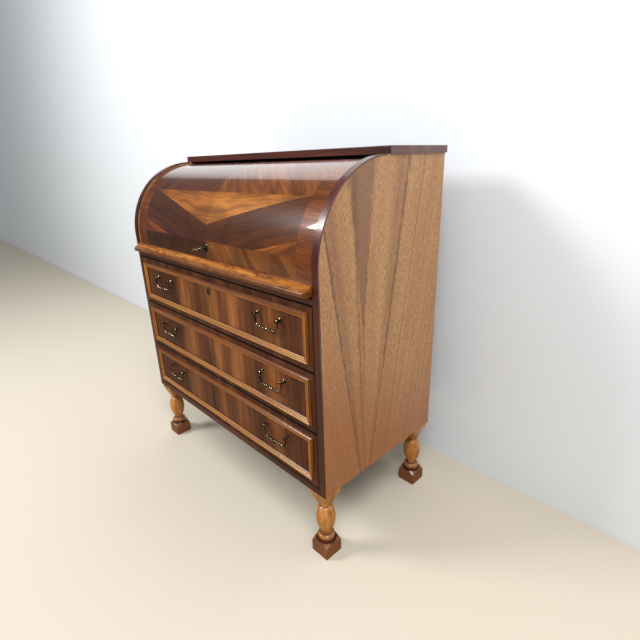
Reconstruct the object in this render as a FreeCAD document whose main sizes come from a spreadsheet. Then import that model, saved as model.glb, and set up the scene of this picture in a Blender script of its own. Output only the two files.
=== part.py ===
"""Cylinder (roll top) desk on turned legs: three long drawers, a writing slide and a one-piece barrel lid.

The frame is millimetres with +Z up. The origin lies on the floor under the middle of the desk's overall
box, +X runs to the right of a person who sits at the desk, and the drawers open towards -Y.
"""

import FreeCAD, Part
import os
import re
from math import atan2, sqrt

import Sketcher
from FreeCAD import Placement, Rotation, Vector

doc = FreeCAD.newDocument("roll_top_desk")

# ---------------------------------------------------------------- driving dimensions

SIZES = {
    # carcass
    "total_height": 1050,
    "body_width": 910,
    "body_depth": 472,
    "leg_height": 216,
    "side_thickness": 19,
    "lipping_thickness": 4,
    "top_thickness": 18,
    "top_overhang": 4,
    "top_setback": 6,
    "top_rounding": 1.5,
    "barrel_radius": 230,
    "bottom_thickness": 18,
    "divider_thickness": 12,
    "back_thickness": 6,
    # lid
    "lid_recess": 8,
    "lid_thickness": 20,
    "lid_tuck": 16,
    "lid_side_gap": 1.5,
    "lid_foot_gap": 1,
    "quadrant_thickness": 10,
    "hub_radius": 24,
    "pivot_radius": 6,
    "pivot_seat": 10,
    "running_clearance": 0.05,
    # writing slide and desk floor
    "skirt_rise": 29,
    "slide_thickness": 18,
    "slide_back_gap": 34,
    "slide_gap": 1,
    "slide_runner_height": 14,
    "slide_runner_width": 30,
    "moulding_reach": 24,
    "moulding_drop": 25,
    "moulding_lip": 9,
    "moulding_shoulder": 8,
    "moulding_corner": 8,
    "floor_thickness": 10,
    "floor_setback": 40,
    # pigeonholes and small drawers
    "nest_rise_share": 64 / 101,
    "nest_reach_share": 70 / 101,
    "nest_setback": 50,
    "nest_side_gap": 4.5,
    "nest_board": 9,
    "nest_back": 4,
    "nest_bay": 140,
    "nest_slot": 47,
    "nest_shelf": 6,
    "small_drawer_height": 50,
    "small_drawer_wall": 6,
    "small_knob_radius": 7,
    "small_knob_reach": 14,
    "small_gap": 0.8,
    # drawers
    "front_thickness": 20,
    "drawer_gap": 3,
    "drawer_side_gap": 1.5,
    "drawer_back_gap": 52,
    "drawer_wall": 12,
    "drawer_floor": 5,
    "drawer_groove": 5,
    "box_lift": 12,
    "box_drop": 12,
    "runner_height": 14,
    "runner_width": 20,
    "glide_clearance": 0.3,
    "border_width": 17,
    "frame_width": 15.6,
    "frame_rise": 6,
    "frame_fall": 1.8,
    # bail handles
    "handle_inset": 157.5,
    "handle_drop": 58,
    "post_spacing": 88,
    "post_reach": 11,
    "post_ball": 5.8,
    "rosette_radius": 7,
    "rosette_edge": 1.2,
    "rosette_dome": 2.6,
    "neck_start": 4,
    "neck_radius": 3.2,
    "bail_radius": 2.6,
    "bail_depth": 30,
    "bail_bend": 41.5,
    "bail_corner": 12,
    "bail_lean": 25,
    "bail_eye": 3.6,
    "bail_eye_width": 5.4,
    "bail_pin": 1.2,
    "bail_slack": 0.3,
    "grip_half": 26,
    "grip_swell": 4.6,
    "grip_waist": 3.2,
    # locks and key
    "plate_height": 25,
    "plate_width": 16,
    "plate_thickness": 1.5,
    "keyhole_radius": 3.2,
    "keyhole_slot": 8,
    "keyhole_slot_width": 3.4,
    "lid_lock_rise": 31,
    "drawer_lock_drop": 46,
    "lock_width": 56,
    "lock_depth": 12,
    "lock_let_in": 3,
    "lock_above": 14,
    "lock_below": 28,
    "lock_chamber": 9.5,
    "bolt_width": 16,
    "bolt_thickness": 5,
    "bolt_throw": 8,
    "bolt_slack": 0.2,
    "key_reach": 36,
    "key_shaft": 2.6,
    "key_bow": 8,
    "key_wire": 1.8,
    "key_bit": 5,
    "key_tilt": -27,
    # legs
    "leg_inset": 33.4,
    "foot_size": 56.5,
    "foot_height": 46,
    "foot_turning": 11,
    "ring_height": 14,
    "ring_seat": 5,
    "ring_radius": 18.5,
    "ring_curve": 7.2,
    "neck_rise": 7,
    "leg_neck": 15.5,
    "vase_foot_rise": 11,
    "vase_foot": 19,
    "vase_radius": 26.5,
    "vase_drop": 97,
    "shoulder_radius": 22,
    "shoulder_drop": 71,
    "cap_radius": 13,
    "cap_drop": 59,
    "spire_size": 26,
    "spire_drop": 55,
    "block_size": 58,
    "block_height": 14,
    # fasteners
    "stud_radius": 4,
    "stud_down": 40,
    "stud_up": 12,
    "screw_radius": 2,
    "screw_head": 4,
    "screw_length": 22,
}

sheet = doc.addObject("Spreadsheet::Sheet", "Sizes")
for row, (alias, value) in enumerate(SIZES.items(), start=1):
    sheet.set(f"A{row}", alias)
    sheet.set(f"B{row}", str(value))
    sheet.setAlias(f"B{row}", alias)
doc.recompute()

# ---------------------------------------------------------------- places worked out from them

FRONT = "((key_reach - body_depth - top_overhang) / 2)"
BACK = f"({FRONT} + body_depth)"
INSIDE_BACK = f"({BACK} - back_thickness)"
INNER = "(body_width / 2 - side_thickness)"
TOP_UNDER = "(total_height - top_thickness)"
WRITING = f"({TOP_UNDER} - barrel_radius - skirt_rise)"
AXIS_Y = f"({FRONT} + barrel_radius)"
AXIS_Z = f"({TOP_UNDER} - barrel_radius)"
LID_OUTER = "(barrel_radius - lid_recess)"
LID_INNER = "(barrel_radius - lid_recess - lid_thickness)"
LID_HALF = f"({INNER} - lid_side_gap)"
LID_FACE = f"({FRONT} + lid_recess)"
LID_FOOT = f"({WRITING} + lid_foot_gap)"
SLIDE_LOW = f"({WRITING} - slide_thickness)"
DIVIDER_TOP = f"({SLIDE_LOW} - slide_runner_height)"
DIVIDER_LOW = f"({DIVIDER_TOP} - divider_thickness)"
CARCASS_FLOOR = "(leg_height + bottom_thickness)"
DRAWER_HEIGHT = f"(({DIVIDER_LOW} - {CARCASS_FLOOR} - 4 * drawer_gap) / 3)"
DRAWER_HALF = f"({INNER} - drawer_side_gap)"
DRAWER_LENGTH = "(body_depth - drawer_back_gap)"
FLOOR_LOW = f"({WRITING} + slide_gap)"
FLOOR_TOP = f"({FLOOR_LOW} + floor_thickness)"
LOCK_Y = f"({LID_FACE} + lid_thickness - lock_let_in)"
LOCK_Z = f"({WRITING} + lid_lock_rise)"
LEG_X = "(body_width / 2 - leg_inset)"
LEG_FRONT = f"({FRONT} + leg_inset)"
LEG_REAR = f"({BACK} - leg_inset)"

NAME = re.compile(r"\b[a-z][a-z0-9_]*\b(?!\()")
PARTS = []


def linked(formula):
    """The formula with each size's name pointing at its cell."""
    return NAME.sub(r"Sizes.\g<0>", str(formula))


def bind(thing, prop, formula):
    """Tie a property to the sheet."""
    thing.setExpression(prop, linked(formula))


def number(formula):
    """The formula's present value."""
    return float(sheet.evalExpression(linked(formula)))


def keep(thing):
    """Mark a finished piece for export under its label."""
    PARTS.append(thing)
    return thing


def place(thing, at, rotation=None):
    """Put an object at a point given by three formulas."""
    if rotation:
        thing.Placement = Placement(Vector(), rotation)
    for axis, formula in zip("xyz", at):
        bind(thing, f"Placement.Base.{axis}", formula)
    return thing


# ---------------------------------------------------------------- Part helpers


def block(label, low, size):
    """A rectangular piece from its low corner and its size along X, Y and Z."""
    box = doc.addObject("Part::Box", label)
    for prop, formula in zip(("Length", "Width", "Height"), size):
        bind(box, prop, formula)
    return place(box, low)


def rod(label, radius, length, at, axis):
    """A round bar from one end's centre along an axis."""
    bar = doc.addObject("Part::Cylinder", label)
    bind(bar, "Radius", radius)
    bind(bar, "Height", length)
    return place(bar, at, Rotation(Vector(0, 0, 1), axis))


def cone(label, radius_1, radius_2, length, at, axis):
    """A cone from one end's centre along an axis."""
    taper = doc.addObject("Part::Cone", label)
    bind(taper, "Radius1", radius_1)
    bind(taper, "Radius2", radius_2)
    bind(taper, "Height", length)
    return place(taper, at, Rotation(Vector(0, 0, 1), axis))


def cut(label, base, tool):
    """Base less tool."""
    result = doc.addObject("Part::Cut", label)
    result.Base = base
    result.Tool = tool
    return result


def fuse(label, shapes):
    """One solid from several."""
    result = doc.addObject("Part::MultiFuse", label)
    result.Shapes = shapes
    return result


def group(label, members):
    """Separate solids under one name."""
    result = doc.addObject("Part::Compound", label)
    result.Links = members
    return result


# ---------------------------------------------------------------- PartDesign helpers


def new_body(label, at=("0", "0", "0")):
    """An empty body at a point."""
    return place(doc.addObject("PartDesign::Body", label), at)


def new_sketch(body, role, lift="0"):
    """A sketch on one of the body's origin planes, raised along the plane's normal."""
    flat = body.newObject("Sketcher::SketchObject", f"{body.Label}_sketch")
    plane = next(f for f in body.Origin.OriginFeatures if f.Role == role)
    flat.AttachmentSupport = (plane, [""])
    flat.MapMode = "FlatFace"
    bind(flat, "AttachmentOffset.Base.z", lift)
    return flat


def arc_between(start, stop, radius, side):
    """The minor arc between two points, with its centre on the left (1) or right (-1) of the way."""
    chord = stop - start
    lift = sqrt(radius * radius - chord.Length**2 / 4)
    centre = (start + stop) / 2 + Vector(-chord.y, chord.x, 0).normalize() * lift * side
    first, last = (start, stop) if side > 0 else (stop, start)
    angles = [atan2(p.y - centre.y, p.x - centre.x) for p in (first, last)]
    return Part.ArcOfCircle(Part.Circle(centre, Vector(0, 0, 1), radius), *angles)


def outline(flat, corners, arcs=None, closed=True):
    """Draw a chain through corners given as formulas; arcs maps an edge's number to (radius, side)."""
    arcs = arcs or {}
    points = [Vector(number(u), number(v), 0) for u, v in corners]
    count = len(points) if closed else len(points) - 1
    edges = []
    for i in range(count):
        start, stop = points[i], points[(i + 1) % len(points)]
        if i in arcs:
            radius, side = arcs[i]
            edge = flat.addGeometry(arc_between(start, stop, number(radius), side))
            limit = flat.addConstraint(Sketcher.Constraint("Radius", edge, number(radius)))
            bind(flat, f"Constraints[{limit}]", radius)
            edges.append((edge, 1, 2) if side > 0 else (edge, 2, 1))
        else:
            edges.append((flat.addGeometry(Part.LineSegment(start, stop)), 1, 2))
    for i in range(count if closed else count - 1):
        after = edges[(i + 1) % count]
        flat.addConstraint(Sketcher.Constraint("Coincident", edges[i][0], edges[i][2], after[0], after[1]))
    ends = [(edge, first) for edge, first, _ in edges]
    if not closed:
        ends.append((edges[-1][0], edges[-1][2]))
    for (edge, end), corner, point in zip(ends, corners, points):
        for way, formula, value in zip("XY", corner, (point.x, point.y)):
            limit = flat.addConstraint(Sketcher.Constraint(f"Distance{way}", -1, 1, edge, end, value))
            bind(flat, f"Constraints[{limit}]", formula)
    return flat


def rectangle(flat, half_u, half_v, centre=("0", "0")):
    """A rectangle about a centre."""
    u, v = centre
    return outline(flat, [
        (f"{u} - {half_u}", f"{v} - {half_v}"),
        (f"{u} + {half_u}", f"{v} - {half_v}"),
        (f"{u} + {half_u}", f"{v} + {half_v}"),
        (f"{u} - {half_u}", f"{v} + {half_v}"),
    ])


def pad(body, flat, length, side="Symmetric", reverse=False):
    """Raise a sketch into a solid."""
    feature = body.newObject("PartDesign::Pad", f"{body.Label}_pad")
    feature.Profile = flat
    feature.SideType = side
    feature.Reversed = reverse
    bind(feature, "Length", length)
    return feature


def pocket(body, flat, length, side="Symmetric"):
    """Cut a sketch out of the solid."""
    feature = body.newObject("PartDesign::Pocket", f"{body.Label}_pocket")
    feature.Profile = flat
    feature.SideType = side
    bind(feature, "Length", length)
    return feature


def revolve(body, flat, axis="V_Axis", kind="PartDesign::Revolution"):
    """Turn a sketch about one of its own axes."""
    feature = body.newObject(kind, f"{body.Label}_turning")
    feature.Profile = flat
    feature.ReferenceAxis = (flat, [axis])
    feature.Angle = 360
    return feature


# ---------------------------------------------------------------- carcass


def side_panel(hand, sign):
    """A side: upright at the front, a quarter circle about the lid's axis, then flat to the rear."""
    body = new_body(f"side_panel_{hand}_blank", (f"{sign} * (body_width - side_thickness) / 2", "0", "0"))
    edge = f"{FRONT} + lipping_thickness"
    pad(body, outline(new_sketch(body, "YZ_Plane"), [
        (edge, "leg_height"),
        (BACK, "leg_height"),
        (BACK, TOP_UNDER),
        (AXIS_Y, TOP_UNDER),
        (AXIS_Y, f"{TOP_UNDER} - lipping_thickness"),
        (edge, AXIS_Z),
    ], {4: ("barrel_radius - lipping_thickness", 1)}), "side_thickness")
    return keep(cut(f"side_panel_{hand}", body, lid_pivots[sign]))


def edge_lipping(hand, sign):
    """The dark solid strip along the side's front edge and curve."""
    body = new_body(f"edge_lipping_{hand}", (f"{sign} * (body_width - side_thickness) / 2", "0", "0"))
    edge = f"{FRONT} + lipping_thickness"
    pad(body, outline(new_sketch(body, "YZ_Plane"), [
        (FRONT, "leg_height"),
        (edge, "leg_height"),
        (edge, AXIS_Z),
        (AXIS_Y, f"{TOP_UNDER} - lipping_thickness"),
        (AXIS_Y, TOP_UNDER),
        (FRONT, AXIS_Z),
    ], {2: ("barrel_radius - lipping_thickness", -1), 4: ("barrel_radius", 1)}), "side_thickness")
    return keep(body)


def top_board():
    """The flat top behind the barrel, with its upper front and side edges eased."""
    body = new_body("top_board", ("0", "0", TOP_UNDER))
    front = f"{AXIS_Y} + top_setback"
    rear = f"{BACK} + top_overhang"
    half = "(body_width / 2 + top_overhang)"
    slab = pad(body, outline(new_sketch(body, "XY_Plane"), [
        (f"-{half}", front), (half, front), (half, rear), (f"-{half}", rear),
    ]), "top_thickness", "One side")
    doc.recompute()
    upper = [
        f"Edge{i}" for i, edge in enumerate(slab.Shape.Edges, start=1)
        if edge.CenterOfMass.z > number("top_thickness") - 0.01
    ]
    easing = body.newObject("PartDesign::Fillet", "top_board_easing")
    easing.Base = (slab, upper)
    bind(easing, "Radius", "top_rounding")
    return keep(body)


def across(label, low_y, high_y, low_z, thick, ease="0"):
    """A board that spans from side to side inside the carcass, eased off the sides by a gap."""
    half = f"({INNER} - {ease})"
    return block(label, (f"-{half}", low_y, low_z), (f"2 * {half}", f"{high_y} - ({low_y})", thick))


def screw(name, x, z):
    """A countersunk screw through the back panel, its head flush."""
    head = "(screw_head - screw_radius)"
    return fuse(f"back_screw_{name}", [
        rod(f"back_screw_{name}_shank", "screw_radius", "screw_length", (x, BACK, z), Vector(0, -1, 0)),
        cone(f"back_screw_{name}_head", "screw_head", "screw_radius", head, (x, BACK, z), Vector(0, -1, 0)),
    ])


def leg(label, x, y):
    """A turned leg: square foot, ring, neck, vase and a tapered block under the carcass."""
    body = new_body(f"{label}_blank", (x, y, "0"))
    pad(body, rectangle(new_sketch(body, "XY_Plane"), "foot_size / 2", "foot_size / 2"), "foot_height", "One side")
    flare = "(foot_size * 0.75)"
    revolve(body, outline(new_sketch(body, "XZ_Plane"), [
        ("foot_size / 2", "foot_height"),
        (flare, f"foot_height - foot_turning * ({flare} - foot_size / 2) / (foot_size * 0.2071)"),
        (flare, "foot_height"),
    ]), kind="PartDesign::Groove")
    ring_low = "(foot_height + ring_seat - 1)"
    ring_top = f"({ring_low} + ring_height)"
    neck = f"({ring_top} + neck_rise)"
    vase_foot = f"({neck} + vase_foot_rise)"
    revolve(body, outline(new_sketch(body, "XZ_Plane"), [
        ("0", "foot_height - 1"),
        ("ring_radius + 3", "foot_height - 1"),
        ("ring_radius", ring_low),
        ("ring_radius", ring_top),
        ("leg_neck", neck),
        ("vase_foot", vase_foot),
        ("vase_radius", "leg_height - vase_drop"),
        ("shoulder_radius", "leg_height - shoulder_drop"),
        ("cap_radius", "leg_height - cap_drop"),
        ("cap_radius", "leg_height - spire_drop + 1"),
        ("0", "leg_height - spire_drop + 1"),
    ], {
        2: ("ring_curve", 1),
        3: ("neck_rise * 1.2", -1),
        4: ("vase_foot_rise * 1.3", -1),
        5: ("vase_radius * 3.4", 1),
        6: ("vase_radius * 2.7", 1),
        7: ("vase_radius * 0.5", 1),
    }))
    small = rectangle(
        new_sketch(body, "XY_Plane", "leg_height - spire_drop"), "spire_size / 2", "spire_size / 2")
    large = rectangle(
        new_sketch(body, "XY_Plane", "leg_height - block_height"), "block_size / 2", "block_size / 2")
    spire = body.newObject("PartDesign::AdditiveLoft", f"{label}_spire")
    spire.Profile = small
    spire.Sections = [large]
    spire.Ruled = True
    top = rectangle(
        new_sketch(body, "XY_Plane", "leg_height - block_height"), "block_size / 2", "block_size / 2")
    pad(body, top, "block_height", "One side")
    stud = rod(f"{label}_stud", "stud_radius", "stud_down + stud_up", (x, y, "leg_height - stud_down"),
               Vector(0, 0, 1))
    keep(cut(label, body, stud))
    return stud


# The lid turns on two brass pins let into the sides.
lid_pivots = {
    sign: rod(f"lid_pivot_{sign + 1}", "pivot_radius", "pivot_seat + lid_side_gap + quadrant_thickness",
              (f"{sign} * ({INNER} + pivot_seat)", AXIS_Y, AXIS_Z), Vector(-sign, 0, 0))
    for sign in (-1, 1)
}
keep(group("lid_pivots", list(lid_pivots.values())))

for hand, sign in (("left", -1), ("right", 1)):
    side_panel(hand, sign)
    edge_lipping(hand, sign)
top_board()

leg_studs = group("leg_studs", [
    leg(f"leg_{end}_{hand}", f"{sign} * {LEG_X}", y)
    for end, y in (("front", LEG_FRONT), ("rear", LEG_REAR))
    for hand, sign in (("left", -1), ("right", 1))
])
keep(leg_studs)

back_screws = group("back_screws", [
    screw(f"{row}_{column}", f"{column - 1} * ({INNER} - 2 * side_thickness)", z)
    for row, z in enumerate(("leg_height + bottom_thickness / 2", f"{DIVIDER_LOW} + divider_thickness / 2"))
    for column in range(3)
])
keep(back_screws)
keep(cut("back_panel", block(
    "back_panel_blank",
    (f"-{INNER}", INSIDE_BACK, "leg_height"),
    (f"2 * {INNER}", "back_thickness", f"{TOP_UNDER} - leg_height"),
), back_screws))
keep(cut("bottom_board", across(
    "bottom_board_blank", FRONT, INSIDE_BACK, "leg_height", "bottom_thickness",
), group("bottom_board_holes", [leg_studs, back_screws])))

# ---------------------------------------------------------------- drawers


def drawer_low(index):
    """The foot of a drawer's front, counted down from the top drawer as 1."""
    return f"({CARCASS_FLOOR} + drawer_gap + {3 - index} * ({DRAWER_HEIGHT} + drawer_gap))"


def keyhole(label, z, y, length):
    """A keyhole's void: a round hole with a slot below it, running back from y."""
    return fuse(label, [
        rod(f"{label}_round", "keyhole_radius", length, ("0", y, z), Vector(0, 1, 0)),
        block(f"{label}_slot", ("-keyhole_slot_width / 2", y, f"{z} - keyhole_slot"),
              ("keyhole_slot_width", length, "keyhole_slot")),
    ])


def oval_plate(label, y, z, void):
    """An oval escutcheon standing on a surface at y, pierced by the keyhole."""
    rim = doc.addObject("Part::Ellipse", f"{label}_rim")
    bind(rim, "MajorRadius", "plate_height / 2")
    bind(rim, "MinorRadius", "plate_width / 2")
    upright = Rotation(Vector(0, 0, 1), Vector(1, 0, 0), Vector(0, 1, 0), "ZXY")
    place(rim, ("0", y, z), upright)
    slab = doc.addObject("Part::Extrusion", f"{label}_slab")
    slab.Base = rim
    slab.DirMode = "Custom"
    slab.Dir = Vector(0, -1, 0)
    slab.Solid = True
    bind(slab, "LengthFwd", "plate_thickness")
    return keep(cut(label, slab, void))


def lock_case(label, y, z, low, high, void, channel):
    """A lock's case with a round chamber for the key's bit and a channel for the bolt."""
    case = block(f"{label}_block", ("-lock_width / 2", y, f"{z} - {low}"),
                 ("lock_width", "lock_depth", f"{low} + {high}"))
    chamber = rod(f"{label}_chamber", "lock_chamber", "lock_depth - 4", ("0", f"{y} + 2", z), Vector(0, 1, 0))
    keep(cut(label, case, group(f"{label}_voids", [chamber, void, channel])))
    return case


def drawer_moulding(index):
    """The mitred, reeded frame on a drawer's front: high at its outer edge, low at the panel."""
    low = drawer_low(index)
    body = new_body(f"drawer_{index}_moulding", ("0", FRONT, f"{low} + border_width"))
    half = f"({DRAWER_HALF} - border_width)"
    high = f"({DRAWER_HEIGHT} - 2 * border_width)"
    route = outline(new_sketch(body, "XZ_Plane"), [
        ("0", "0"), (half, "0"), (half, high), (f"-{half}", high), (f"-{half}", "0"),
    ])
    reeds = [
        (f"-(frame_rise + (frame_fall - frame_rise) * {step} / 3)", f"1 + (frame_width - 1) * {step} / 3")
        for step in range(4)
    ]
    section = outline(
        new_sketch(body, "YZ_Plane"),
        [("0", "0"), ("1 - frame_rise", "0"), *reeds, ("0", "frame_width")],
        {2: ("frame_width / 4", -1), 3: ("frame_width / 4", -1), 4: ("frame_width / 4", -1)},
    )
    ring = body.newObject("PartDesign::AdditivePipe", f"drawer_{index}_moulding_ring")
    ring.Profile = section
    ring.Spine = (route, [])
    ring.Transition = "Right corner"
    return keep(body)


def post(label, x, z):
    """A handle's post: rosette, waisted neck and a ball slotted from below for the bail's eye."""
    body = new_body(label, (x, FRONT, z))
    reach = "post_reach"
    revolve(body, outline(new_sketch(body, "XY_Plane"), [
        ("0", "0"),
        ("rosette_radius", "0"),
        ("rosette_radius", "-rosette_edge"),
        ("neck_radius * 1.6", "-rosette_dome"),
        ("neck_radius", "-neck_start"),
        ("neck_radius", f"-({reach} - sqrt(post_ball * post_ball - neck_radius * neck_radius))"),
        ("post_ball", f"-{reach}"),
        ("0", f"-({reach} + post_ball)"),
    ], {5: ("post_ball", -1), 6: ("post_ball", -1)}))
    slot = outline(new_sketch(body, "YZ_Plane"), [
        (f"-({reach} + 2 * post_ball)", "-2 * post_ball"),
        (f"-({reach} - bail_eye - bail_slack)", "-2 * post_ball"),
        (f"-({reach} - bail_eye - bail_slack)", "bail_eye + bail_slack"),
        (f"-({reach} + 2 * post_ball)", "bail_eye + bail_slack"),
    ])
    pocket(body, slot, "bail_eye_width + 2 * bail_slack")
    bore = new_sketch(body, "YZ_Plane")
    hole = bore.addGeometry(Part.Circle(Vector(-number(reach), 0, 0), Vector(0, 0, 1), number("bail_pin")))
    for kind, formula in (("DistanceX", f"-{reach}"), ("DistanceY", "0")):
        limit = bore.addConstraint(Sketcher.Constraint(kind, -1, 1, hole, 3, number(formula)))
        bind(bore, f"Constraints[{limit}]", formula)
    limit = bore.addConstraint(Sketcher.Constraint("Radius", hole, number("bail_pin")))
    bind(bore, f"Constraints[{limit}]", "bail_pin + running_clearance")
    pocket(body, bore, "4 * post_ball")
    return body


def bail(label, x, z):
    """A swan-neck bail: eyes and pins at its ends, two bends a side and a swelled grip."""
    body = new_body(label, (x, f"{FRONT} - post_reach", z))
    half = "(post_spacing / 2)"
    knee = (f"({half} - bail_bend * (1 - cos(bail_lean)))",
            "(bail_corner * (1 - sin(bail_lean)) - bail_depth)")
    straight = f"({knee[1]} + bail_bend * sin(bail_lean))"
    heel = f"({knee[0]} - bail_corner * cos(bail_lean))"
    right = [("0", "-bail_depth"), (heel, "-bail_depth"), knee, (half, straight), (half, "0")]
    bends = {1: ("bail_corner", 1), 2: ("bail_bend", 1)}
    route = outline(new_sketch(body, "XZ_Plane"), right, bends, closed=False)
    section = new_sketch(body, "YZ_Plane")
    ring = section.addGeometry(
        Part.Circle(Vector(0, -number("bail_depth"), 0), Vector(0, 0, 1), number("bail_radius")))
    section.addConstraint(Sketcher.Constraint("PointOnObject", ring, 3, -2))
    limit = section.addConstraint(Sketcher.Constraint("DistanceY", -1, 1, ring, 3, -number("bail_depth")))
    bind(section, f"Constraints[{limit}]", "-bail_depth")
    limit = section.addConstraint(Sketcher.Constraint("Radius", ring, number("bail_radius")))
    bind(section, f"Constraints[{limit}]", "bail_radius")
    arm = body.newObject("PartDesign::AdditivePipe", f"{label}_arm")
    arm.Profile = section
    arm.Spine = (route, [])
    arm.Transition = "Right corner"
    eye = new_sketch(body, "YZ_Plane", half)
    rim = eye.addGeometry(Part.Circle(Vector(0, 0, 0), Vector(0, 0, 1), number("bail_eye")))
    eye.addConstraint(Sketcher.Constraint("Coincident", rim, 3, -1, 1))
    limit = eye.addConstraint(Sketcher.Constraint("Radius", rim, number("bail_eye")))
    bind(eye, f"Constraints[{limit}]", "bail_eye")
    pad(body, eye, "bail_eye_width")
    pin = new_sketch(body, "YZ_Plane", half)
    rim = pin.addGeometry(Part.Circle(Vector(0, 0, 0), Vector(0, 0, 1), number("bail_pin")))
    pin.addConstraint(Sketcher.Constraint("Coincident", rim, 3, -1, 1))
    limit = pin.addConstraint(Sketcher.Constraint("Radius", rim, number("bail_pin")))
    bind(pin, f"Constraints[{limit}]", "bail_pin")
    pad(body, pin, "2 * post_ball - 1.5")
    grip = new_sketch(body, "XZ_Plane")
    bind(grip, "AttachmentOffset.Base.y", "-bail_depth")
    outline(grip, [
        ("0", "0"),
        ("grip_half", "0"),
        ("grip_half", "bail_radius + 0.3"),
        ("grip_half * 0.82", "grip_waist"),
        ("grip_half * 0.16", "grip_waist"),
        ("grip_half * 0.1", "grip_swell * 0.95"),
        ("0", "grip_swell * 0.95"),
    ], {3: ("grip_half * 0.9", 1)})
    revolve(body, grip, "H_Axis")
    mirror = body.newObject("PartDesign::Mirrored", f"{label}_other_half")
    mirror.Originals = [f for f in body.Group if f.TypeId != "Sketcher::SketchObject" and f != mirror]
    mirror.MirrorPlane = (next(f for f in body.Origin.OriginFeatures if f.Role == "YZ_Plane"), [""])
    body.Tip = mirror
    return keep(body)


def drawer(index, front_voids):
    """One long drawer: front, reeded frame, dovetailed box walls, grooved-in bottom, posts and bails."""
    name = f"drawer_{index}"
    low = drawer_low(index)
    box_low = f"({low} + box_lift)"
    box_height = f"({DRAWER_HEIGHT} - box_lift - box_drop)"
    behind = f"({FRONT} + front_thickness)"
    long = f"({DRAWER_LENGTH} - front_thickness)"
    inner = f"({DRAWER_HALF} - drawer_wall)"
    bottom = block(
        f"{name}_bottom",
        (f"-({inner} + drawer_groove)", f"{behind} - drawer_groove", f"{box_low} + 2 * drawer_floor"),
        (f"2 * ({inner} + drawer_groove)", f"{long} - drawer_wall + 2 * drawer_groove", "drawer_floor"),
    )
    walls = [
        block(f"{name}_wall_{sign + 1}", (f"{sign} * ({DRAWER_HALF} - drawer_wall / 2) - drawer_wall / 2",
                                          behind, box_low), ("drawer_wall", long, box_height))
        for sign in (-1, 1)
    ]
    walls.append(block(f"{name}_back", (f"-{inner}", f"{behind} + {long} - drawer_wall", box_low),
                       (f"2 * {inner}", "drawer_wall", box_height)))
    keep(bottom)
    keep(cut(f"{name}_box", group(f"{name}_walls", walls), bottom))
    panel = block(f"{name}_front_blank", (f"-{DRAWER_HALF}", FRONT, low),
                  (f"2 * {DRAWER_HALF}", "front_thickness", DRAWER_HEIGHT))
    keep(cut(f"{name}_front", panel, group(f"{name}_front_voids", [bottom, *front_voids])))
    drawer_moulding(index)
    height = f"({low} + {DRAWER_HEIGHT} - handle_drop)"
    handle_x = f"({DRAWER_HALF} - handle_inset)"
    posts = []
    for hand, sign in (("left", -1), ("right", 1)):
        bail(f"{name}_bail_{hand}", f"{sign} * {handle_x}", height)
        posts += [
            post(f"{name}_post_{hand}_{end + 1}", f"{sign} * {handle_x} + {end} * post_spacing / 2", height)
            for end in (-1, 1)
        ]
    keep(group(f"{name}_handle_posts", posts))


# The top drawer's lock is let into the back of its front; its bolt rises into the divider above.
drawer_top = f"({drawer_low(1)} + {DRAWER_HEIGHT})"
drawer_key_z = f"({drawer_top} - drawer_lock_drop)"
drawer_lock_y = f"({FRONT} + front_thickness - lock_depth)"
drawer_void = keyhole("drawer_keyhole", drawer_key_z, f"{FRONT} - plate_thickness", "lock_depth + plate_thickness")
bolt_y = f"({drawer_lock_y} + (lock_depth - bolt_thickness) / 2)"
bolt_low = f"({drawer_key_z} + lock_chamber)"
drawer_channel = block(
    "drawer_bolt_channel",
    ("-bolt_width / 2 - bolt_slack", f"{bolt_y} - bolt_slack", bolt_low),
    ("bolt_width + 2 * bolt_slack", "bolt_thickness + 2 * bolt_slack",
     f"{drawer_top} + drawer_gap + bolt_throw - {bolt_low}"),
)
keep(block("drawer_1_lock_bolt", ("-bolt_width / 2", bolt_y, bolt_low),
           ("bolt_width", "bolt_thickness", f"{drawer_top} - {bolt_low}")))
oval_plate("drawer_1_escutcheon", FRONT, drawer_key_z, drawer_void)
drawer_lock = lock_case("drawer_1_lock", drawer_lock_y, drawer_key_z, "lock_above", "lock_below", drawer_void,
                        drawer_channel)
for index in (1, 2, 3):
    drawer(index, [drawer_lock, drawer_void, drawer_channel] if index == 1 else [])

keep(group("drawer_runners", [
    block(f"drawer_runner_{index}_{sign + 1}",
          (f"{sign} * ({INNER} - runner_width / 2) - runner_width / 2",
           f"{FRONT} + front_thickness + lipping_thickness",
           f"{drawer_low(index)} + box_lift - glide_clearance - runner_height"),
          ("runner_width", "body_depth - back_thickness - front_thickness - lipping_thickness", "runner_height"))
    for index in (1, 2, 3) for sign in (-1, 1)
]))
keep(cut("divider_board", across(
    "divider_board_blank", FRONT, INSIDE_BACK, DIVIDER_LOW, "divider_thickness",
), group("divider_board_holes", [drawer_channel, back_screws])))

# ---------------------------------------------------------------- writing slide

keep(group("slide_runners", [
    block(f"slide_runner_{sign + 1}",
          (f"{sign} * ({INNER} - slide_runner_width / 2) - slide_runner_width / 2",
           f"{FRONT} + lid_recess + moulding_shoulder", DIVIDER_TOP),
          ("slide_runner_width", "body_depth - back_thickness - lid_recess - moulding_shoulder",
           "slide_runner_height - glide_clearance"))
    for sign in (-1, 1)
]))


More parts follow.
